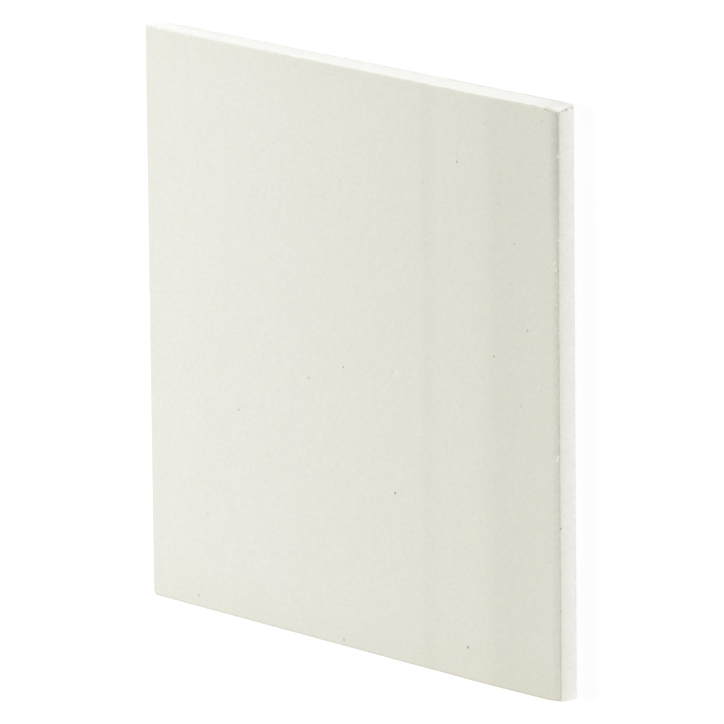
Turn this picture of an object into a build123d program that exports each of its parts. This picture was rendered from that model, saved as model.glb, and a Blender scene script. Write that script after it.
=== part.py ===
"""A one-foot-square cut piece of half-inch drywall, lying face up.

The board is a foamed gypsum core between two papers. The face paper covers the front, folds round the
tapered long edge and laps under the back. The back paper covers that lap and stops short of the long edge.
The other three edges are cut, so the core shows there between the papers.

Millimetres. +X points to the tapered long edge, +Y along that edge and +Z out of the face. The origin is
the middle of the footprint, on the underside of the back paper.
"""

import os

from build123d import *

# Driving dimensions of the board.
board_width = 304.8  # from the sawn edge to the widest line of the tapered edge
board_length = 304.8  # along the tapered edge, at its longest
board_thickness = 12.7  # over both papers

# Papers.
face_paper_thickness = 0.35
back_paper_thickness = 0.35
lap_width = 25.0  # face paper turned under the back, measured from the long edge
back_paper_setback = 6.0  # bare margin between the back paper and the long edge

# Tapered long edge.
taper_width = 53.0  # from the long edge to where the face starts to fall
taper_depth = 1.85  # fall of the face at the start of the shoulder
shoulder_width = 5.5  # rounded margin of the face beside the long edge
crease_drop = 2.6  # the crease between shoulder and edge lies this far below the face
crease_inset = 1.9  # and this far in from the widest line
crease_radius = 1.2
edge_curve_height = 6.5  # the edge leans in over this height below the crease
heel_radius = 0.8  # fold where the edge turns under the back

# The far end was scored on the face and snapped, so its back stands proud of its face.
snap_rise_left = 0.1  # at the left end of the back paper
snap_rise_right = 1.8  # at the right end of the back paper

# The stock runs past its cuts by this much.
cut_waste = 10.0

half_width = board_width / 2
half_length = board_length / 2
back_paper_width = board_width - back_paper_setback
wrapped_bottom = back_paper_thickness  # underside of the core and face paper
waste_left = -half_width - cut_waste
waste_right = half_width + cut_waste

taper_start = (half_width - taper_width, board_thickness)
shoulder_start = (half_width - shoulder_width, board_thickness - taper_depth)
crease = (half_width - crease_inset, board_thickness - crease_drop)
edge_top = (half_width, board_thickness - crease_drop - edge_curve_height)
heel = (half_width, wrapped_bottom)

score_y = half_length - max(snap_rise_left, snap_rise_right)  # the score line on the face
snap_twist = (snap_rise_right - snap_rise_left) / back_paper_width


# What the snap takes off the far end: the break leans more and more from the left edge to the right.
with BuildPart() as snapped_off:
    for section_x in (waste_left, waste_right):
        lean = (snap_rise_left + snap_twist * (section_x + half_width)) / board_thickness
        with BuildSketch(Plane.YZ.offset(section_x)):
            with BuildLine():
                Polyline(
                    (score_y - lean * cut_waste, board_thickness + cut_waste),
                    (score_y + lean * (board_thickness + cut_waste), -cut_waste),
                    (half_length + cut_waste, -cut_waste),
                    (half_length + cut_waste, board_thickness + cut_waste),
                    close=True,
                )
            make_face()
    loft(ruled=True)


# Outline of the core in its face paper, before its folds are rounded and its left edge is sawn.
with BuildSketch(Plane.XZ) as sharp_section:
    with BuildLine():
        face_line = Line((waste_left, board_thickness), taper_start)
        taper_line = Line(face_line @ 1, shoulder_start)
        shoulder = TangentArc(taper_line @ 1, crease, tangent=taper_line % 1)
        edge_curve = TangentArc(edge_top, crease, tangent=(0, 1))
        Polyline(edge_top, heel, (waste_left, wrapped_bottom), (waste_left, board_thickness))
    make_face()

# Outside of the face paper, with its two folds.
with BuildSketch(Plane.XZ) as wrapped_section:
    add(sharp_section.sketch_local)
    fillet(wrapped_section.vertices().sort_by_distance(crease)[0], radius=crease_radius)
    fillet(wrapped_section.vertices().sort_by_distance(heel)[0], radius=heel_radius)

# Inside of the face paper, with the same two folds.
with BuildSketch(Plane.XZ) as unwrapped_section:
    add(sharp_section.sketch_local)
    offset(amount=-face_paper_thickness, kind=Kind.INTERSECTION)
    fillet(
        unwrapped_section.vertices().sort_by_distance(crease)[0],
        radius=crease_radius - face_paper_thickness,
    )
    fillet(
        unwrapped_section.vertices().sort_by_distance(heel)[0],
        radius=heel_radius - face_paper_thickness,
    )

# Section of the face paper: front, long edge and lap, with its left end sawn.
with BuildSketch(Plane.XZ) as face_paper_section:
    add(wrapped_section.sketch_local)
    add(unwrapped_section.sketch_local, mode=Mode.SUBTRACT)
    with Locations((waste_left, wrapped_bottom)):
        Rectangle(
            half_width - lap_width - waste_left,
            face_paper_thickness,
            align=(Align.MIN, Align.MIN),
            mode=Mode.SUBTRACT,
        )
    with Locations((waste_left, 0)):
        Rectangle(cut_waste, board_thickness, align=(Align.MIN, Align.MIN), mode=Mode.SUBTRACT)


# Face paper: one folded sheet.
with BuildPart() as face_paper:
    with BuildSketch(Plane.XZ):
        add(face_paper_section.sketch_local)
    extrude(amount=half_length, both=True)
    add(snapped_off.part, mode=Mode.SUBTRACT)
face_paper.part.label = "face_paper"

# Gypsum core: it fills the face paper, and the saw cuts its left edge.
with BuildPart() as gypsum_core:
    with BuildSketch(Plane.XZ):
        add(wrapped_section.sketch_local)
        add(face_paper_section.sketch_local, mode=Mode.SUBTRACT)
        with Locations((waste_left, 0)):
            Rectangle(cut_waste, board_thickness, align=(Align.MIN, Align.MIN), mode=Mode.SUBTRACT)
    extrude(amount=half_length, both=True)
    add(snapped_off.part, mode=Mode.SUBTRACT)
gypsum_core.part.label = "gypsum_core"

# Back paper: a flat sheet, which the board lies on.
with BuildPart() as back_paper:
    with BuildSketch(Plane.XY):
        with Locations((-half_width, 0)):
            Rectangle(back_paper_width, board_length, align=(Align.MIN, Align.CENTER))
    extrude(amount=back_paper_thickness)
    add(snapped_off.part, mode=Mode.SUBTRACT)
back_paper.part.label = "back_paper"


os.makedirs("parts", exist_ok=True)
for piece in (gypsum_core, face_paper, back_paper):
    export_step(piece.part, f"parts/{piece.part.label}.step")
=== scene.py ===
import math

import bmesh
import bpy
import numpy as np
from mathutils import Matrix, Vector, noise


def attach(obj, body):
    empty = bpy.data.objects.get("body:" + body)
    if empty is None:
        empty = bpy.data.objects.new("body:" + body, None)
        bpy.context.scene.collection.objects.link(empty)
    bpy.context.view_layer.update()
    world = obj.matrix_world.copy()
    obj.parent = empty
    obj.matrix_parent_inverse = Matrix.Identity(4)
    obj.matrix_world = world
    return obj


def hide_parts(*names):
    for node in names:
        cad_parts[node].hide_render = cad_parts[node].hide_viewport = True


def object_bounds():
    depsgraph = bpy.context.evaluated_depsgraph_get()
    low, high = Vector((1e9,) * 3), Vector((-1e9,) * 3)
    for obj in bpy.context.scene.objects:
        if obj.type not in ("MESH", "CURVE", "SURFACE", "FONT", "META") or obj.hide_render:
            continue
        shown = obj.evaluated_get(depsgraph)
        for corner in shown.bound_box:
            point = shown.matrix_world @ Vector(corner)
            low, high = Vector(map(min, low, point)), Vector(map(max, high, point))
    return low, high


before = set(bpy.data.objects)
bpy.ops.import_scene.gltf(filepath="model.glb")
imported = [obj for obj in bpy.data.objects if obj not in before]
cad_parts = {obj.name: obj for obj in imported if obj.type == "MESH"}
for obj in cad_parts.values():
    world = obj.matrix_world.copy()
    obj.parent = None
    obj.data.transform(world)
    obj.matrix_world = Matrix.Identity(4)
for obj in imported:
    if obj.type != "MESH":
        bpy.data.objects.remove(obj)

cad_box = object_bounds()

# Gypsum core.
# Foamed gypsum plaster, cast wet between the two papers, so that it fills every fold of the face paper.
# Two edges are sawn. The far end was scored on the face and snapped, so its back stands proud of its face.
MM = 0.001
(left, near, underside), (right, far, face) = cad_box
paper = 0.35 * MM
lap_width = 25 * MM
back_setback = 6 * MM

# Fall of the face towards the tapered long edge: a faint step, then the taper, then the rounded shoulder.
step_x = 57 * MM
step_width = 9 * MM
step_drop = 0.12 * MM
taper_width = 53 * MM
taper_blend = 8 * MM
shoulder_width = 7 * MM
shoulder_drop = 1.79 * MM
taper_slope = (shoulder_drop - step_drop) / (taper_width - shoulder_width)

# Rolled long edge: the crease below the shoulder, the edge's curve below that and the fold at the heel.
crease_inset = 1.42 * MM
crease_drop = 2.6 * MM
crease_round = 0.35 * MM
edge_curve_height = 6.5 * MM
heel_radius = 0.8 * MM

# Towards the far end the shoulder is sunk a little, from this bend down to the crease.
shoulder_bend = 5.2 * MM
shoulder_bend_reach = 2 * MM
sunk_start = 75 * MM
sunk_end = 120 * MM
sunk_depth = 0.36 * MM

# The snapped end leans more and more from left to right, and its right corner is worn, most of all high up.
snap_rise_left = -0.2 * MM
snap_rise_right = 1.8 * MM
score_y = far - snap_rise_right
corner_wear_low = 1.05 * MM
corner_wear_high = 1.7 * MM
corner_reach_low = 1.5 * MM
corner_reach_high = 21 * MM
wear_low = 0.4 * face
wear_high = 0.9 * face

# The near sawn end has its left corner crushed round, its right corner worn back and its heel worn there.
crushed_corner = 1.8 * MM
near_wear = 0.6 * MM
near_wear_reach = 12 * MM
worn_heel = 2.6 * MM
worn_heel_reach = 8 * MM

# A cut through plaster is crumbled: crumbs, finer crumbs and broad hollows. A saw leaves less than a snap,
# and the crumbling fades out at the left corners, over a length across and over a share of the length along.
crumb_size = 1.4 * MM
fine_crumb_size = 0.6 * MM
crumb_depth = 0.10 * MM
hollow_size = 9 * MM
hollow_depth = 0.12 * MM
sawn_share = 0.6
corner_fade = 1.5 * MM
corner_fade_share = 0.006

# Spacing and numbers of points on the section and on the core's cut faces.
curve_points = 24
fold_points = 9
side_points = 6
heel_points = 7
lap_points = 12
core_step = 0.8 * MM
corner_step = 0.3 * MM
corner_stations = 8
core_levels = 25
core_rows = 381
merge_distance = 1e-8
tolerance = 1e-9
sharp_angle = math.radians(35)


def ease(t):
    """Smooth step from 0 to 1."""
    t = np.clip(t, 0.0, 1.0)
    return t * t * (3 - 2 * t)


def eased_bend(past, reach):
    """Zero before a bend and the distance past it after, smooth over that reach on each side."""
    return np.where(past > reach, past, np.clip(past + reach, 0, 2 * reach) ** 2 / (4 * reach))


def face_fall(x):
    """How far the face lies below its highest plane."""
    fall = taper_slope * eased_bend(x - (right - taper_width), taper_blend)
    return step_drop * ease((x - step_x) / step_width + 0.5) + fall


def arc(start, end, heading, count):
    """Points of the arc that leaves start along heading and arrives at end."""
    chord = np.subtract(end, start)
    turn = 2 * (math.atan2(chord[1], chord[0]) - heading)
    t = np.linspace(0, 1, count)
    reach = math.hypot(*chord) * np.sin(turn * t / 2) / math.sin(turn / 2)
    bearing = heading + turn * t / 2
    return np.add(start, np.c_[reach * np.cos(bearing), reach * np.sin(bearing)])


def wrapped_path(field_step, depth):
    """Section of the face paper, from the sawn edge round to its lap, at a depth below its outside."""
    field_x = np.arange(left, right - shoulder_width - field_step / 2, field_step)
    field = np.c_[field_x, face - face_fall(field_x)]
    shoulder_start = (right - shoulder_width, face - face_fall(right - shoulder_width))
    crease = (right - crease_inset, face - crease_drop)
    edge_top = (right, face - crease_drop - edge_curve_height)
    heel_side = (right, paper + heel_radius)
    heel_under = (right - heel_radius, paper)
    lap_end = (right - lap_width, paper)
    shoulder = arc(shoulder_start, crease, -math.atan(taper_slope), curve_points)
    edge_curve = arc(edge_top, crease, math.pi / 2, curve_points)[::-1]
    shoulder = shoulder[np.hypot(*(shoulder - crease).T) > crease_round]
    edge_curve = edge_curve[np.hypot(*(edge_curve - crease).T) > crease_round]
    t = np.linspace(0, 1, fold_points)[1:-1, None]
    crease_bend = (1 - t) ** 2 * shoulder[-1] + 2 * t * (1 - t) * np.array(crease) + t**2 * edge_curve[0]
    side = np.linspace(edge_top, heel_side, side_points)[1:]
    heel_bend = arc(heel_side, heel_under, -math.pi / 2, heel_points)[1:]
    lap = np.linspace(heel_under, lap_end, lap_points)[1:]
    path = np.concatenate([field, shoulder, crease_bend, edge_curve, side, heel_bend, lap])
    along = np.gradient(path, axis=0)
    along /= np.hypot(*along.T)[:, None]
    inward = np.c_[along[:, 1], -along[:, 0]]
    return path + depth * inward


def sunk(x, y, z):
    """How far the shoulder is sunk."""
    share = eased_bend(shoulder_bend - (right - crease_inset - x), shoulder_bend_reach) / shoulder_bend
    edge_share = (z - (face - crease_drop - edge_curve_height)) / edge_curve_height
    share = np.minimum(share, 1) * np.clip(edge_share, 0, 1)
    return sunk_depth * share * ease((y - sunk_start) / (sunk_end - sunk_start))


def noise_at(points, size):
    """Smooth noise from -1 to 1 with features of that size, at each point."""
    flat = np.asarray(points).reshape(-1, 3) / size
    return np.array([noise.noise(Vector(p)) for p in flat]).reshape(np.shape(points)[:-1])


def snapped_end(x, z):
    """Where the snapped end lies along Y."""
    rise = snap_rise_left + (snap_rise_right - snap_rise_left) * (x - left) / (right - left - back_setback)
    reach = corner_reach_low + (corner_reach_high - corner_reach_low) * (z / face) ** 2
    high_up = ease((z - wear_low) / (wear_high - wear_low))
    depth = corner_wear_low + (corner_wear_high - corner_wear_low) * high_up
    worn = depth * ease(1 - (right - x) / reach)
    return np.minimum(score_y + rise * (face - z) / face, far) - worn


def sawn_end(x, z):
    """Where the near sawn end lies along Y."""
    short = np.clip(crushed_corner - (x - left), 0, crushed_corner)
    crushed = crushed_corner - np.sqrt(crushed_corner**2 - short**2)
    low = np.clip(worn_heel - z, 0, worn_heel)
    worn = (worn_heel - np.sqrt(worn_heel**2 - low**2)) * ease(1 - (right - x) / worn_heel_reach)
    return near + crushed + worn + near_wear * ease(1 - (right - x) / near_wear_reach)


def joined_piece(name, grids, polygons=()):
    """One closed mesh from grids of points and single polygons that share their border points."""
    points = [grid.reshape(-1, 3) for grid in grids] + [np.array(polygon) for polygon in polygons]
    starts = np.cumsum([0] + [len(p) for p in points])
    faces = []
    for start, grid in zip(starts, grids):
        rows, columns = grid.shape[:2]
        index = start + np.arange(rows * columns).reshape(rows, columns)
        corners = (index[:-1, :-1], index[1:, :-1], index[1:, 1:], index[:-1, 1:])
        faces += np.stack([c.ravel() for c in corners], axis=1).tolist()
    for start, polygon in zip(starts[len(grids):], polygons):
        faces.append(list(range(start, start + len(polygon))))
    points = np.concatenate(points)
    rounded = np.round(points / merge_distance).astype(np.int64)
    _, kept, merged = np.unique(rounded, axis=0, return_index=True, return_inverse=True)
    merged = merged.ravel()
    mesh = bpy.data.meshes.new(name)
    mesh.from_pydata(points[kept].tolist(), [], [merged[face].tolist() for face in faces])
    mesh.validate()
    shell = bmesh.new()
    shell.from_mesh(mesh)
    bmesh.ops.recalc_face_normals(shell, faces=shell.faces)
    shell.to_mesh(mesh)
    shell.free()
    mesh.shade_smooth()
    mesh.set_sharp_from_angle(angle=sharp_angle)
    piece = bpy.data.objects.new(name, mesh)
    bpy.context.scene.collection.objects.link(piece)
    return piece


def crumbled(x, y, z):
    """Depth of the crumbled surface at a cut."""
    points = np.stack([x, y, z], axis=-1)
    crumbs = 0.5 + 0.5 * noise_at(points, crumb_size) + 0.25 * noise_at(points, fine_crumb_size)
    hollows = 0.5 + 0.5 * noise_at(points, hollow_size)
    return crumb_depth * np.clip(crumbs, 0, 1.3) + hollow_depth * hollows


def core_piece():
    """Core with crumbled cut faces, closer stations at its left corners and plain faces under the papers."""
    inside = wrapped_path(core_step, paper)
    widest = int(np.argmax(inside[:, 0] > right - paper - tolerance))
    upper = inside[: widest + 1]
    lower = inside[widest:][::-1]
    corner = left + np.arange(corner_stations) * corner_step
    stations = np.concatenate([corner, upper[:, 0][upper[:, 0] > corner[-1] + corner_step / 2]])
    z_high = np.interp(stations, upper[:, 0], upper[:, 1])
    z_low = np.interp(stations, lower[:, 0], lower[:, 1])
    z_low = np.where(stations < right - lap_width, paper, z_low)
    levels = np.linspace(0, 1, core_levels)
    x = np.repeat(stations[:, None], len(levels), axis=1)
    z = z_low[:, None] + (z_high - z_low)[:, None] * levels

    fade = ease((x - left) / corner_fade)
    y_far = snapped_end(x, z)
    y_far = y_far - fade * crumbled(x, y_far, z)
    y_near = sawn_end(x, z)
    y_near = y_near + sawn_share * fade * crumbled(x, y_near, z)
    far_end = np.stack([x, y_far, z - sunk(x, y_far, z)], axis=-1)
    near_end = np.stack([x, y_near, z], axis=-1)

    rows = np.linspace(0, 1, core_rows)[:, None]
    y_left = y_near[0] + (y_far[0] - y_near[0]) * rows
    z_left = np.repeat(z[:1], len(rows), axis=0)
    x_left = np.full_like(y_left, left)
    fade = ease(rows / corner_fade_share) * ease((1 - rows) / corner_fade_share)
    x_left = x_left + sawn_share * fade * crumbled(x_left, y_left, z_left)
    left_edge = np.stack([x_left, y_left, z_left], axis=-1)

    top = np.stack([near_end[1:, -1], far_end[1:, -1]], axis=1)
    bottom = np.stack([far_end[1:, 0], near_end[1:, 0]], axis=1)
    nose = np.stack([far_end[-1], near_end[-1]], axis=1)
    top_end = [far_end[1, -1], *left_edge[::-1, -1], near_end[1, -1]]
    bottom_end = [near_end[1, 0], *left_edge[:, 0], far_end[1, 0]]
    grids = [far_end, near_end[::-1], left_edge[::-1], top, bottom, nose]
    return joined_piece("gypsum_core_cut", grids, [top_end, bottom_end])


core = core_piece()
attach(core, "root")
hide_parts("gypsum_core")


def start_material(name):
    """A new material, its node tree, its shader and the place on the object."""
    material = bpy.data.materials.new(name)
    material.use_nodes = True
    tree = material.node_tree
    place = tree.nodes.new("ShaderNodeTexCoord").outputs["Object"]
    return material, tree, tree.nodes["Principled BSDF"], place


def feed(tree, socket, value):
    """Set a socket to a value, or link it to another socket."""
    if isinstance(value, bpy.types.NodeSocket):
        tree.links.new(value, socket)
    else:
        socket.default_value = value


def add_node(tree, kind, inputs, **settings):
    """A node with its settings, and with its inputs by name or number."""
    made = tree.nodes.new(kind)
    for name, value in settings.items():
        setattr(made, name, value)
    for name, value in inputs.items():
        feed(tree, made.inputs[name], value)
    return made


def blend(tree, factor, first, second):
    """Colour from first to second by factor."""
    return add_node(tree, "ShaderNodeMix", {0: factor, 6: first, 7: second}, data_type="RGBA").outputs[2]


def ramp(tree, value, low, high, to_low, to_high):
    """Value carried smoothly from one range to another."""
    inputs = {0: value, 1: low, 2: high, 3: to_low, 4: to_high}
    return add_node(tree, "ShaderNodeMapRange", inputs, interpolation_type="SMOOTHSTEP").outputs[0]


def calculate(tree, operation, first, second):
    """Two values put together by the operation named."""
    return add_node(tree, "ShaderNodeMath", {0: first, 1: second}, operation=operation).outputs[0]


def times(tree, first, second):
    """Product of two values."""
    return calculate(tree, "MULTIPLY", first, second)


def larger(tree, first, second):
    """The larger of two values."""
    return calculate(tree, "MAXIMUM", first, second)


def finish_shader(tree, shader, tone, roughness, sheen, relief, relief_depth, relief_strength):
    """Give the shader its colour, roughness, sheen and fine relief."""
    inputs = {"Strength": relief_strength, "Distance": relief_depth, "Height": relief}
    bump = add_node(tree, "ShaderNodeBump", inputs)
    feed(tree, shader.inputs["Base Color"], tone)
    feed(tree, shader.inputs["Roughness"], roughness)
    feed(tree, shader.inputs["Normal"], bump.outputs[0])
    shader.inputs["Specular IOR Level"].default_value = sheen


def new_group(name, inputs, outputs):
    """A shader node group with its sockets, its tree and its two ends."""
    group = bpy.data.node_groups.new(name, "ShaderNodeTree")
    for socket, kind in inputs.items():
        group.interface.new_socket(socket, in_out="INPUT", socket_type=kind)
    for socket, kind in outputs.items():
        group.interface.new_socket(socket, in_out="OUTPUT", socket_type=kind)
    return group, group.nodes.new("NodeGroupInput").outputs, group.nodes.new("NodeGroupOutput").inputs


def grain_group():
    """Grain with features of a given size on each axis, as a value about 0.5."""
    group, given, result = new_group(
        "grain", {"Place": "NodeSocketVector", "Size": "NodeSocketVector"}, {"Grain": "NodeSocketFloat"}
    )
    sizes = {0: given["Place"], 1: given["Size"]}
    scaled = add_node(group, "ShaderNodeVectorMath", sizes, operation="DIVIDE")
    inputs = {"Vector": scaled.outputs[0], "Scale": 1.0, "Detail": 2.0, "Roughness": 0.55}
    pattern = add_node(group, "ShaderNodeTexNoise", inputs)
    group.links.new(pattern.outputs["Fac"], result["Grain"])
    return group


grain = grain_group()


def grained(tree, place, across, along):
    """Grain with features of those sizes across and along the board."""
    inputs = {"Place": place, "Size": (across, along, across)}
    return add_node(tree, "ShaderNodeGroup", inputs, node_tree=grain).outputs[0]


# Plaster: its grain, patches and bubbles, its colours, and where painted shade towards its worn right corner
# and its torn parts start and end.
plaster_grain = 0.5 * MM
plaster_patch = 6 * MM
bubble_spacing = 0.9 * MM
plaster_shade = (0.84, 0.843, 0.814, 1)
plaster_light = (0.94, 0.943, 0.918, 1)
plaster_cream = (0.91, 0.905, 0.87, 1)
bubble_shade = (0.62, 0.60, 0.55, 1)
# Painted shade for the plaster towards its worn right corner.
plaster_corner_shade = (0.79, 0.78, 0.74, 1)
torn_fibre = (0.71, 0.67, 0.60, 1)
plaster_corner_shade_x = (right - corner_reach_high, right - 8 * MM)
torn_fibre_x = (right - 12 * MM, right - 8 * MM)
torn_fibre_z = (face - 4.2 * MM, face - 3 * MM)
torn_edge_x = (right - 2.2 * MM, right - 1.2 * MM)


def gypsum_material():
    """White plaster with fine bubbles, a little creamier in broad patches."""
    material, tree, shader, place = start_material("gypsum")
    fine = grained(tree, place, plaster_grain, plaster_grain)
    broad = grained(tree, place, plaster_patch, plaster_patch)
    bubbles = add_node(tree, "ShaderNodeTexVoronoi", {"Vector": place, "Scale": 1 / bubble_spacing}).outputs
    chance = add_node(tree, "ShaderNodeSeparateColor", {0: bubbles["Color"]}).outputs[0]
    pits = ramp(tree, bubbles["Distance"], 0.05, 0.28, 1.0, 0.0)
    pits = times(tree, pits, ramp(tree, chance, 0.55, 0.7, 0.0, 1.0))
    tone = blend(tree, fine, plaster_shade, plaster_light)
    tone = blend(tree, ramp(tree, broad, 0.35, 0.7, 0.0, 0.5), tone, plaster_cream)
    tone = blend(tree, times(tree, pits, 0.45), tone, bubble_shade)

    across, _, height = add_node(tree, "ShaderNodeSeparateXYZ", {0: place}).outputs
    # Painted shade: the plaster darker towards the right, where the snapped end's corner is worn.
    tone = blend(tree, ramp(tree, across, *plaster_corner_shade_x, 0.0, 0.5), tone, plaster_corner_shade)
    torn = ramp(tree, across, *torn_fibre_x, 0.0, 1.0)
    torn = times(tree, torn, ramp(tree, height, *torn_fibre_z, 0.0, 0.8))
    torn = larger(tree, torn, ramp(tree, across, *torn_edge_x, 0.0, 0.7))
    tone = blend(tree, torn, tone, torn_fibre)

    roughness = ramp(tree, fine, 0.3, 0.7, 0.88, 1.0)
    relief = calculate(tree, "SUBTRACT", fine, pits)
    finish_shader(tree, shader, tone, roughness, 0.2, relief, 0.15 * MM, 0.5)
    return material


core.data.materials.append(gypsum_material())


# Face paper.
# One sheet of smooth ivory paper over the face. It folds round the long edge and laps under the back.
# It was bonded by the wet gypsum, and it was cut through at the sawn edges and at the scored end.
cut_edge_bend = 0.12 * MM
cut_edge_reach = 0.8 * MM
ragged_size = 2.2 * MM
ragged_near = 0.10 * MM
ragged_far = 0.12 * MM
ragged_left = 0.08 * MM

# Faint waves, long ones along the board, in the part of the sheet above this height.
wave_size = 22 * MM
wave_depth = 0.02 * MM
wave_squeeze = (1, 0.3, 1)
wave_floor = 0.6 * face
wave_blend = 0.25 * face

# Spacing of the sheet's points, and of its rows close to a cut.
sheet_step = 1.1 * MM
sheet_rows = 141
close_rows = np.array([0, 0.15, 0.35, 0.6, 0.9, 1.3, 2.0]) * MM

# The knife ran askew, so the gypsum stands more and more past the paper from here to the left.
askew_start = 45 * MM
askew_setback = 0.7 * MM


def face_paper_piece():
    """Wrapped sheet with ragged cut edges, closer rows beside them and faint waves in the face."""
    outside = wrapped_path(sheet_step, 0)
    inside = wrapped_path(sheet_step, paper)
    x, z = outside.T[..., None]
    y_near = sawn_end(x, z)
    y_near = y_near + ragged_near * (1 + noise_at(np.stack([x, y_near, z], axis=-1), ragged_size))
    y_far = snapped_end(x, z)
    setback = askew_setback * np.clip((askew_start - x) / (askew_start - left), 0, 1)
    y_far = y_far - setback - ragged_far * (1 + noise_at(np.stack([x, y_far, z], axis=-1), ragged_size))
    rows = np.linspace(0, 1, sheet_rows)[2:-2]
    y = np.hstack([y_near + close_rows, y_near + (y_far - y_near) * rows, y_far - close_rows[::-1]])
    skin = np.stack([np.broadcast_to(x, y.shape), y, np.broadcast_to(z, y.shape)], axis=-1)

    upward = ease((z - wave_floor) / wave_blend)
    wave = noise_at(skin * wave_squeeze, wave_size)
    bend = ease(1 - (y - y_near) / cut_edge_reach) + ease(1 - (y_far - y) / cut_edge_reach)
    skin[..., 2] -= upward * (wave_depth * (1 + wave) + cut_edge_bend * bend) + sunk(x, y, z)
    skin[0, :, 0] += ragged_left * (1 + noise_at(skin[0], ragged_size))

    lining = np.stack([skin[:, 0], skin[:, -1]], axis=1)
    lining[:, :, 0] = inside[:, :1]
    lining[:, :, 2] = inside[:, 1:] - sunk(inside[:, :1], lining[:, :, 1], inside[:, 1:])
    lining[0, :, 0] = skin[0, [0, -1], 0]
    near_cut = np.stack([lining[:, 0], skin[:, 0]], axis=1)
    far_cut = np.stack([skin[:, -1], lining[:, 1]], axis=1)
    left_cut = [*skin[0], lining[0, 1], lining[0, 0]]
    lap_cut = [*skin[-1], lining[-1, 1], lining[-1, 0]]
    return joined_piece("face_paper_sheet", [skin, lining, near_cut, far_cut], [left_cut, lap_cut])


face_sheet = face_paper_piece()
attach(face_sheet, "root")
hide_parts("face_paper")

# Dark flecks of fibre in the face: place across and along the board from its middle, radius and darkness.
flecks = (
    (33.1, -64.8, 0.85, 0.60),
    (85.8, -135.6, 0.85, 0.66),
    (80.5, 114.2, 0.72, 0.46),
    (106.1, 18.6, 0.90, 0.37),
    (129.6, 35.6, 0.90, 0.33),
    (-4.7, -5.6, 0.75, 0.50),
    (-84.4, -41.5, 0.75, 0.40),
    (120.8, 78.5, 0.85, 0.24),
    (-30.9, -15.7, 1.05, 0.25),
    (-117.0, -146.2, 0.80, 0.36),
    (110.0, 97.5, 0.95, 0.20),
    (-6.4, -149.1, 1.20, 0.25),
    (124.3, -4.1, 0.95, 0.20),
    (140.2, 143.6, 0.70, 0.22),
    (117.7, 57.5, 0.90, 0.19),
    (-6.0, 91.2, 0.95, 0.13),
    (139.1, 6.2, 0.70, 0.16),
    (64.5, -124.9, 0.65, 0.17),
    (55.3, 99.4, 0.80, 0.17),
    (31.6, -1.5, 1.10, 0.12),
    (101.1, 136.9, 0.75, 0.12),
    (-18.7, 81.1, 0.90, 0.10),
    (57.4, 68.1, 0.85, 0.13),
    (137.4, 115.2, 1.20, 0.08),
    (-109.7, -100.6, 0.70, 0.14),
    (-110.6, -147.8, 0.70, 0.14),
    (95.7, -67.8, 0.65, 0.13),
    (129.9, 72.9, 0.70, 0.11),
    (116.3, 26.9, 0.65, 0.12),
    (50.1, -142.9, 0.70, 0.12),
    (40.6, 92.8, 0.70, 0.11),
)

# Nicks in the shoulder, where small tufts of fibre stand up: place across and along, radius and height.
nicks = (
    (150.5, 127.1, 1.0, 0.05),
    (150.9, 96.3, 0.8, 0.02),
    (150.5, 84.6, 0.9, 0.04),
    (150.5, 82.1, 0.8, 0.02),
    (148.6, 72.7, 0.9, 0.05),
    (149.3, 69.3, 1.0, 0.05),
    (150.5, 58.7, 0.8, 0.02),
    (149.3, 39.8, 0.9, 0.03),
    (150.5, 37.4, 0.8, 0.03),
    (150.0, -25.9, 1.0, 0.04),
    (149.7, -26.9, 1.1, 0.05),
    (149.2, -28.2, 0.7, 0.04),
)

# Brown marks on the crease, the first two stains and the last two painted shadow beside the nicks' tufts:
# place across and along, radius and darkness.
stains_and_tuft_shadows = (
    (151.0, -62.4, 0.6, 0.62),
    (150.9, -105.1, 0.6, 0.30),
    (150.4, 68.7, 0.6, 0.35),
    (150.7, -27.1, 0.55, 0.40),
)

# Dark specks along the paper's worn edge at the far right corner, painted shade in small pits and in the last
# two brown dots: place across, height, radius, darkness.
pit_shade_and_dots = (
    (142.6, 11.0, 0.65, 0.85),
    (144.3, 10.9, 0.60, 0.75),
    (146.0, 10.8, 0.50, 0.50),
    (149.7, 10.3, 0.45, 0.45),
    (151.2, 9.5, 0.45, 0.55),
    (151.9, 7.5, 0.50, 0.40),
    (152.2, 5.7, 0.80, 0.60),
    (152.4, 2.0, 0.80, 0.32),
)

# A pale fibre in the face: place across, half width, and its two ends along.
pale_fibre_x = 34.2 * MM
pale_fibre_width = 0.7 * MM
pale_fibre_ends = (-4.2 * MM, -0.4 * MM)

# How raggedly a mark ends, how far a mark at the worn edge lies from the cut, and how far apart specks lie.
ragged_mark = 0.5 * MM
mark_inset = 0.25 * MM
speck_spacing = 9 * MM


def on_face(marks):
    """Marks placed across and along the board, set on the face paper's outside."""
    outside = wrapped_path(sheet_step, 0)
    upper = outside[: int(np.argmax(outside[:, 0])) + 1]
    heights = [float(np.interp(x * MM, *upper.T)) for x, *_ in marks]
    return [((x * MM, y * MM, z), radius * MM, mark) for (x, y, radius, mark), z in zip(marks, heights)]


def on_worn_edge(marks):
    """Marks placed across and by height, set on the face paper just short of the snapped end."""
    ends = [float(snapped_end(x * MM, z * MM)) - mark_inset for x, z, *_ in marks]
    return [((x * MM, y, z * MM), radius * MM, mark) for (x, z, radius, mark), y in zip(marks, ends)]


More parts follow.
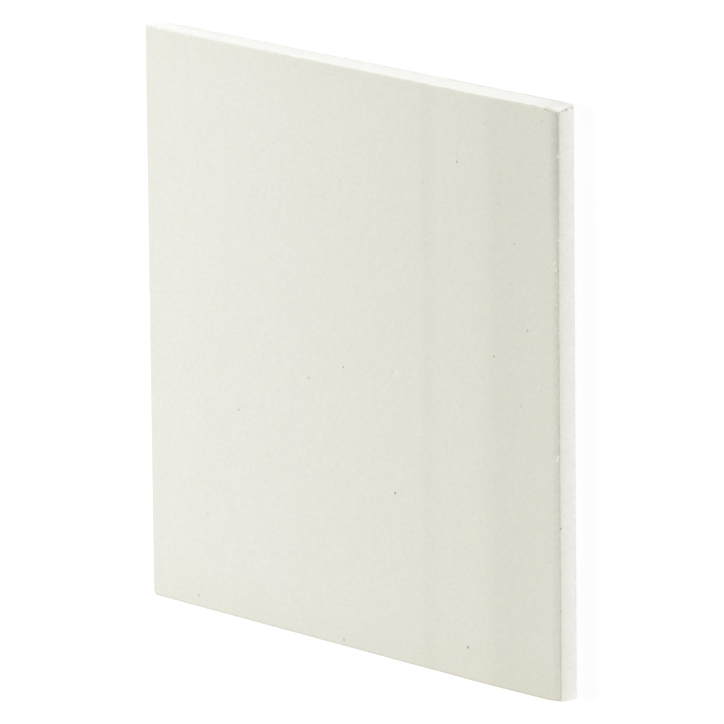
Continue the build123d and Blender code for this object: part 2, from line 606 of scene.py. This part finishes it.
def spot_group():
    """Mask of one ragged spot with a given middle and radius."""
    sockets = {"Place": "NodeSocketVector", "Middle": "NodeSocketVector", "Radius": "NodeSocketFloat"}
    group, given, result = new_group("spot", sockets, {"Mask": "NodeSocketFloat"})
    ragged = add_node(group, "ShaderNodeTexNoise", {"Vector": given["Place"], "Scale": 1 / ragged_mark})
    ends = {0: given["Place"], 1: given["Middle"]}
    away = add_node(group, "ShaderNodeVectorMath", ends, operation="DISTANCE").outputs["Value"]
    share = calculate(group, "DIVIDE", away, given["Radius"])
    share = calculate(group, "ADD", share, ramp(group, ragged.outputs["Fac"], 0.3, 0.7, -0.3, 0.3))
    group.links.new(ramp(group, share, 0.4, 1.1, 1.0, 0.0), result["Mask"])
    return group


spot = spot_group()


def spotted(tree, place, spots):
    """Mask of several spots, each with its middle, radius and strength."""
    mask = 0.0
    for middle, radius, strength in spots:
        inputs = {"Place": place, "Middle": middle, "Radius": radius}
        one = add_node(tree, "ShaderNodeGroup", inputs, node_tree=spot).outputs[0]
        mask = larger(tree, mask, times(tree, one, strength))
    return mask


def band(tree, value, start, full_start, full_end, end):
    """Mask that rises from start to full_start and falls from full_end to end."""
    rising = ramp(tree, value, start, full_start, 0.0, 1.0)
    return times(tree, rising, ramp(tree, value, full_end, end, 1.0, 0.0))


# Colours of the paper's field, of its shoulder, of its wrapped edge from the crease down, and of its marks.
ivory = (0.828, 0.829, 0.770, 1)
warm_ivory = (0.813, 0.808, 0.714, 1)
yellow_tint = (0.835, 0.815, 0.68, 1)
# Painted shade for two bands of the field, at the faint step and over the taper.
painted_shade_tone = (0.70, 0.69, 0.60, 1)
near_margin_tone = (0.79, 0.77, 0.66, 1)
far_margin_tone = (0.81, 0.79, 0.69, 1)
torn_tone = (0.82, 0.78, 0.685, 1)
rim_tone = (0.62, 0.60, 0.50, 1)
shoulder_tone = (0.815, 0.785, 0.67, 1)
# Painted shade for the shoulder towards the far end.
far_shoulder_shade_tone = (0.66, 0.64, 0.57, 1)
# Painted light for the shoulder towards the near end.
near_shoulder_light_tone = (0.87, 0.85, 0.76, 1)
# Painted shade for the wrapped edge just under the crease.
crease_shade_tone = (0.808, 0.79, 0.722, 1)
edge_middle = (0.83, 0.825, 0.79, 1)
edge_low = (0.868, 0.862, 0.825, 1)
fleck_tone = (0.10, 0.08, 0.06, 1)
# Brown for stains and dots, and for painted shade in pits and beside tufts.
stain_and_shade_tone = (0.25, 0.15, 0.075, 1)
# Pale for the pale fibre, and for the nicks' tufts, partly a painted highlight.
pale_fibre_and_highlight_tone = (0.98, 0.965, 0.85, 1)

# Sizes of its grain across and along the board.
fibre_size = (2.2 * MM, 2.0 * MM)
mottle_size = (8 * MM, 12 * MM)
tint_size = (5 * MM, 4 * MM)
wrinkle_size = (1.3 * MM, 3 * MM)

# Where its tones start and end across the board, along it and by height.
warm_x = (left + 30 * MM, right - 20 * MM)
step_shade_x = (step_x - 6 * MM, step_x - MM, step_x + 2 * MM, step_x + 14 * MM)
taper_shade_x = (right - 55 * MM, right - 45 * MM, right - 41 * MM, right - 12 * MM)
shoulder_x = (right - 7 * MM, right - 3 * MM)
far_shoulder_shade_x = (right - 8 * MM, right - 4.5 * MM)
near_shoulder_light_x = (right - 5.5 * MM, right - 2.5 * MM)
torn_x = (-80 * MM, 20 * MM)
near_margin_y = (near, near + 30 * MM)
far_margin_y = (score_y - 25 * MM, score_y)
near_shoulder_light_y = (-120 * MM, 40 * MM)
wrinkled_y = (-100 * MM, 40 * MM)
along_shading_y = (-110 * MM, 130 * MM)
torn_y = (score_y - 1.5 * MM, score_y - 0.6 * MM)
near_rim_y = (near + 0.4 * MM, near + 1.8 * MM)
crease_z = face - crease_drop
wrapped_z = (crease_z - 0.5 * MM, crease_z + 0.1 * MM)
edge_middle_z = (crease_z - 5.5 * MM, crease_z)
edge_low_z = (1 * MM, 6 * MM)


def field_tone(tree, place, warmth, across, along):
    """Ivory, warmer towards the taper, with painted shade in two bands, at the faint step and over the taper,
    and duller margins at the ends.
    """
    tint = grained(tree, place, *tint_size)
    tone = blend(tree, warmth, ivory, warm_ivory)
    tone = blend(tree, ramp(tree, tint, 0.35, 0.65, 0.0, 0.2), tone, yellow_tint)
    # Painted shade: the field darker in a band at the faint step and in one over the taper.
    tone = blend(tree, times(tree, band(tree, across, *step_shade_x), 0.12), tone, painted_shade_tone)
    tone = blend(tree, times(tree, band(tree, across, *taper_shade_x), 0.15), tone, painted_shade_tone)
    tone = blend(tree, ramp(tree, along, *near_margin_y, 0.4, 0.0), tone, near_margin_tone)
    return blend(tree, ramp(tree, along, *far_margin_y, 0.0, 0.25), tone, far_margin_tone)


def with_shoulder(tree, tone, shoulder, across, along):
    """The tone with its shoulder: warm, with painted shade towards the far end and painted light towards the
    near one.
    """
    tone = blend(tree, times(tree, shoulder, 0.5), tone, shoulder_tone)
    # Painted shade: the shoulder darker towards the far end, where it is sunk.
    far_shade = ramp(tree, across, *far_shoulder_shade_x, 0.0, 1.0)
    far_shade = times(tree, far_shade, ramp(tree, along, sunk_start, sunk_end, 0.0, 0.2))
    tone = blend(tree, far_shade, tone, far_shoulder_shade_tone)
    # Painted light: the shoulder next to the crease lighter towards the near end.
    near_light = ramp(tree, across, *near_shoulder_light_x, 0.0, 1.0)
    near_light = times(tree, near_light, ramp(tree, along, *near_shoulder_light_y, 0.8, 0.0))
    return blend(tree, near_light, tone, near_shoulder_light_tone)


def with_edge(tree, tone, wrapped, height):
    """The tone with the wrapped edge, with painted shade just under the crease, paler downwards."""
    # Painted shade under the crease, fading out over 5.5 mm downwards.
    edge = blend(tree, ramp(tree, height, *edge_middle_z, 1.0, 0.0), crease_shade_tone, edge_middle)
    edge = blend(tree, ramp(tree, height, *edge_low_z, 1.0, 0.0), edge, edge_low)
    return blend(tree, wrapped, tone, edge)


def with_cuts(tree, tone, mottle, across, along):
    """The tone with torn fibres along the snapped end and a dull rim along the near one."""
    from_cut = calculate(tree, "ADD", along, ramp(tree, across, left, askew_start, askew_setback, 0.0))
    torn = ramp(tree, from_cut, *torn_y, 0.0, 1.0)
    torn = times(tree, torn, ramp(tree, mottle, 0.35, 0.6, 0.2, 0.75))
    torn = times(tree, torn, ramp(tree, across, *torn_x, 0.35, 1.0))
    tone = blend(tree, torn, tone, torn_tone)
    return blend(tree, ramp(tree, along, *near_rim_y, 0.12, 0.0), tone, rim_tone)


def with_marks(tree, tone, place, unwrapped, tufts, across, along):
    """The tone with faint specks, flecks, brown stains and dots, painted shade in pits and beside tufts, the
    pale fibre and the nicks' tufts with a painted highlight.
    """
    inputs = {"Vector": place, "Scale": 1 / speck_spacing}
    cells = add_node(tree, "ShaderNodeTexVoronoi", inputs, voronoi_dimensions="2D").outputs
    chance = add_node(tree, "ShaderNodeSeparateColor", {0: cells["Color"]}).outputs[0]
    specks = ramp(tree, cells["Distance"], 0.03, 0.09, 1.0, 0.0)
    specks = times(tree, specks, ramp(tree, chance, 0.6, 1.0, 0.0, 0.09))
    specks = times(tree, specks, unwrapped)
    dark = larger(tree, specks, spotted(tree, place, on_face(flecks)))
    tone = blend(tree, dark, tone, fleck_tone)
    # Brown marks: stains, dots, and painted shade in the worn edge's pits and beside the nicks' tufts.
    brown = spotted(tree, place, on_worn_edge(pit_shade_and_dots) + on_face(stains_and_tuft_shadows))
    tone = blend(tree, brown, tone, stain_and_shade_tone)
    low_x = pale_fibre_x - pale_fibre_width
    high_x = pale_fibre_x + pale_fibre_width
    fibre_across = band(tree, across, low_x, pale_fibre_x, pale_fibre_x, high_x)
    start, end = pale_fibre_ends
    fibre_along = band(tree, along, start - MM, start + MM, end - MM, end + MM)
    pale = times(tree, times(tree, fibre_across, fibre_along), 0.5)
    # The nicks' tufts paler: torn fibre, with a painted highlight on it.
    pale = larger(tree, pale, ramp(tree, tufts, 0.0, 0.04, 0.0, 1.0))
    return blend(tree, pale, tone, pale_fibre_and_highlight_tone)


def face_paper_material():
    """Ivory paper with fine fibres and painted shade and light, a worn, wrinkled shoulder, a paler wrapped
    edge and its marks.
    """
    material, tree, shader, place = start_material("face_paper")
    fibre = grained(tree, place, *fibre_size)
    mottle = grained(tree, place, *mottle_size)
    wrinkle = grained(tree, place, *wrinkle_size)
    across, along, height = add_node(tree, "ShaderNodeSeparateXYZ", {0: place}).outputs
    warmth = ramp(tree, across, *warm_x, 0.0, 1.0)
    shoulder = ramp(tree, across, *shoulder_x, 0.0, 1.0)
    wrapped = ramp(tree, height, *wrapped_z, 1.0, 0.0)
    unwrapped = calculate(tree, "SUBTRACT", 1.0, wrapped)
    wrinkled = times(tree, shoulder, unwrapped)
    wrinkled = times(tree, wrinkled, ramp(tree, along, *wrinkled_y, 0.4, 1.0))
    tufts = spotted(tree, place, on_face(nicks))

    tone = field_tone(tree, place, warmth, across, along)
    tone = with_shoulder(tree, tone, shoulder, across, along)
    tone = with_edge(tree, tone, wrapped, height)
    value = ramp(tree, fibre, 0.2, 0.8, 0.967, 1.033)
    value = times(tree, value, ramp(tree, mottle, 0.25, 0.75, 0.993, 1.007))
    # Painted light and shade: towards the taper, lighter at the near end and darker at the far end.
    along_shading = times(tree, warmth, ramp(tree, along, *along_shading_y, 0.013, -0.014))
    value = calculate(tree, "ADD", value, along_shading)
    streak = times(tree, wrinkled, ramp(tree, wrinkle, 0.3, 0.7, -0.05, 0.05))
    value = calculate(tree, "ADD", value, streak)
    tone = add_node(tree, "ShaderNodeHueSaturation", {"Color": tone, "Value": value}).outputs[0]
    tone = with_cuts(tree, tone, mottle, across, along)
    tone = with_marks(tree, tone, place, unwrapped, tufts, across, along)

    roughness = ramp(tree, fibre, 0.3, 0.7, 0.8, 0.95)
    creased = times(tree, wrinkle, times(tree, wrinkled, 0.2))
    relief = calculate(tree, "ADD", times(tree, fibre, 0.006), creased)
    relief = calculate(tree, "ADD", relief, tufts)
    finish_shader(tree, shader, tone, roughness, 0.25, relief, MM, 1.0)
    return material


face_sheet.data.materials.append(face_paper_material())


# Back paper.
# A flat sheet of rough grey-tan recycled paper, bonded to the back and over the face paper's lap.
# It stops short of the long edge. It tore cleanly along the snapped end, where plaster dust whitens its edge.
back_columns = 160
back_rows = 120
back_ragged_size = 7 * MM
back_ragged = 0.08 * MM


def back_paper_piece():
    """Flat sheet with a slightly ragged edge along the snapped end."""
    stations = np.linspace(left, right - back_setback, back_columns)
    rows = np.linspace(0, 1, back_rows)
    x = np.repeat(stations[:, None], len(rows), axis=1)
    y_near = sawn_end(x, underside)
    y_far = snapped_end(x, underside)
    y = y_near + (y_far - y_near) * rows
    low = np.stack([x, y, np.full_like(x, underside)], axis=-1)
    ragged = back_ragged * (1.5 + noise_at(low[:, -1], back_ragged_size))
    low[:, -1, 1] -= ragged * (stations > left)
    high = np.stack([low[:, 0], low[:, -1]], axis=1) + (0, 0, paper)
    near_cut = np.stack([low[:, 0], high[:, 0]], axis=1)
    far_cut = np.stack([high[:, 1], low[:, -1]], axis=1)
    left_cut = [high[0, 0], high[0, 1], *low[0, ::-1]]
    long_edge = [*low[-1], high[-1, 1], high[-1, 0]]
    return joined_piece("back_paper_sheet", [low, high, near_cut, far_cut], [left_cut, long_edge])


back_sheet = back_paper_piece()
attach(back_sheet, "root")
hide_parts("back_paper")

# Grain of the paper, its colours and the dust's, where the dust lies, and where along the edge it is thin.
back_fibre_size = (0.8 * MM, 3 * MM)
back_mottle_size = (7 * MM, 18 * MM)
dust_patch_size = (9 * MM, 9 * MM)
back_shade = (0.40, 0.32, 0.22, 1)
back_light = (0.57, 0.47, 0.33, 1)
back_grey = (0.50, 0.44, 0.36, 1)
thick_dust = (0.90, 0.90, 0.86, 1)
thin_dust = (0.77, 0.70, 0.47, 1)
dust_y = (far - 4 * MM, far - 2 * MM)
thin_dust_x = (45 * MM, 75 * MM, 115 * MM, 132 * MM)


def back_paper_material():
    """Grey-tan paper with long fibres, whitened by plaster dust along the snapped end."""
    material, tree, shader, place = start_material("back_paper")
    fibre = grained(tree, place, *back_fibre_size)
    mottle = grained(tree, place, *back_mottle_size)
    patches = grained(tree, place, *dust_patch_size)
    across, along, _ = add_node(tree, "ShaderNodeSeparateXYZ", {0: place}).outputs
    tone = blend(tree, fibre, back_shade, back_light)
    tone = blend(tree, ramp(tree, mottle, 0.3, 0.7, 0.0, 0.5), tone, back_grey)
    thin = times(tree, band(tree, across, *thin_dust_x), ramp(tree, patches, 0.42, 0.6, 0.3, 1.0))
    dust = blend(tree, thin, thick_dust, thin_dust)
    tone = blend(tree, ramp(tree, along, *dust_y, 0.0, 0.95), tone, dust)
    roughness = ramp(tree, fibre, 0.3, 0.7, 0.85, 1.0)
    finish_shader(tree, shader, tone, roughness, 0.2, fibre, 0.05 * MM, 0.5)
    return material


back_sheet.data.materials.append(back_paper_material())


# Studio.
# A white floor that keeps a faint shadow, a low lamp beyond the sawn edge, and softer lamps for the long
# edge and the snapped end. A lamp's level is the brightness that it gives a white surface facing it.
floor_half = 30.0
floor_drop = 0.05 * MM
white = (1, 1, 1, 1)
card_grey = (0.82, 0.82, 0.82, 1)
shadow_grey = (0.14, 0.14, 0.14, 1)
floor_glow = 0.92
sky_glow = 0.193


def looked_at(tree):
    """Mask of the rays that the camera sees by, straight, reflected or through glass."""
    ray = tree.nodes.new("ShaderNodeLightPath").outputs
    seen = larger(tree, ray["Is Camera Ray"], ray["Is Glossy Ray"])
    return larger(tree, seen, ray["Is Transmission Ray"])


def floor_material():
    """White to the camera apart from a faint shadow, and plain white card to everything else."""
    material, tree, shader, _ = start_material("floor")
    tree.nodes.remove(shader)
    card = add_node(tree, "ShaderNodeBsdfDiffuse", {"Color": card_grey})
    glow = add_node(tree, "ShaderNodeEmission", {"Color": white, "Strength": floor_glow})
    shade = add_node(tree, "ShaderNodeBsdfDiffuse", {"Color": shadow_grey})
    seen = add_node(tree, "ShaderNodeAddShader", {0: glow.outputs[0], 1: shade.outputs[0]})
    shaders = {0: looked_at(tree), 1: card.outputs[0], 2: seen.outputs[0]}
    either = add_node(tree, "ShaderNodeMixShader", shaders)
    feed(tree, tree.nodes["Material Output"].inputs["Surface"], either.outputs[0])
    return material


floor_mesh = bpy.data.meshes.new("floor")
corners = [(-1, -1), (1, -1), (1, 1), (-1, 1)]
floor_points = [(x * floor_half, y * floor_half, -floor_drop) for x, y in corners]
floor_mesh.from_pydata(floor_points, [], [(0, 1, 2, 3)])
floor = bpy.data.objects.new("floor", floor_mesh)
bpy.context.scene.collection.objects.link(floor)
floor_mesh.materials.append(floor_material())


def direction(azimuth, elevation):
    """Unit vector from the board: azimuth 0 is -Y and 90 is +X."""
    a, e = math.radians(azimuth), math.radians(elevation)
    return Vector((math.sin(a) * math.cos(e), -math.cos(a) * math.cos(e), math.sin(e)))


def add_lamp(name, azimuth, elevation, distance, size, level):
    """A round lamp of that size and level, facing the board from that side."""
    lamp = bpy.data.lights.new(name, "AREA")
    lamp.shape = "DISK"
    lamp.size = size
    lamp.energy = level * math.pi**2 * distance**2
    held = bpy.data.objects.new(name, lamp)
    held.location = direction(azimuth, elevation) * distance
    held.rotation_euler = direction(azimuth, elevation).to_track_quat("Z", "Y").to_euler()
    bpy.context.scene.collection.objects.link(held)
    return held


key = add_lamp("key", 277, 28, 3.3, 1.2, 1.304)
plaster_key = add_lamp("plaster_key", 277, 60, 3.3, 1.2, 0.707)
add_lamp("edge_fill", 90, 6, 3.0, 0.6, 0.605)
add_lamp("end_fill", 186, 8, 3.0, 0.6, 0.512)

# The low key lamp would burn out the sawn plaster that faces it, so the plaster has a higher, weaker one.
for lamp, state in ((key, "EXCLUDE"), (plaster_key, "INCLUDE")):
    receivers = bpy.data.collections.new(lamp.name + "_receivers")
    receivers.objects.link(core)
    receivers.collection_objects[0].light_linking.link_state = state
    lamp.light_linking.receiver_collection = receivers

world = bpy.data.worlds.new("studio")
bpy.context.scene.world = world
world.use_nodes = True
sky = world.node_tree
dim = add_node(sky, "ShaderNodeBackground", {"Color": white, "Strength": sky_glow})
bright = add_node(sky, "ShaderNodeBackground", {"Color": white, "Strength": 1.0})
either = add_node(sky, "ShaderNodeMixShader", {0: looked_at(sky), 1: dim.outputs[0], 2: bright.outputs[0]})
feed(sky, sky.nodes["World Output"].inputs["Surface"], either.outputs[0])

# Camera.
# A long lens looks down on the board from the tapered side, turned so that the snapped end is at the top.
view_azimuth = 108.02
view_elevation = 41.25
view_roll = -102.69
view_distance = 5.15
view_lens = 504.8
view_target = Vector((2.42 * MM, -2.77 * MM, face / 2))

back_axis = direction(view_azimuth, view_elevation)
level_right = Vector((0, 0, 1)).cross(back_axis).normalized()
level_up = back_axis.cross(level_right)
turn = math.radians(view_roll)
right_axis = math.cos(turn) * level_right + math.sin(turn) * level_up
up_axis = math.cos(turn) * level_up - math.sin(turn) * level_right
camera_data = bpy.data.cameras.new("camera")
camera_data.sensor_width = 36
camera_data.lens = view_lens
camera_data.clip_end = 100
camera = bpy.data.objects.new("camera", camera_data)
facing = Matrix((right_axis, up_axis, back_axis)).transposed().to_4x4()
camera.matrix_world = Matrix.Translation(view_target + back_axis * view_distance) @ facing
bpy.context.scene.collection.objects.link(camera)
bpy.context.scene.camera = camera
bpy.context.scene.view_settings.view_transform = "Standard"

bpy.context.view_layer.update()
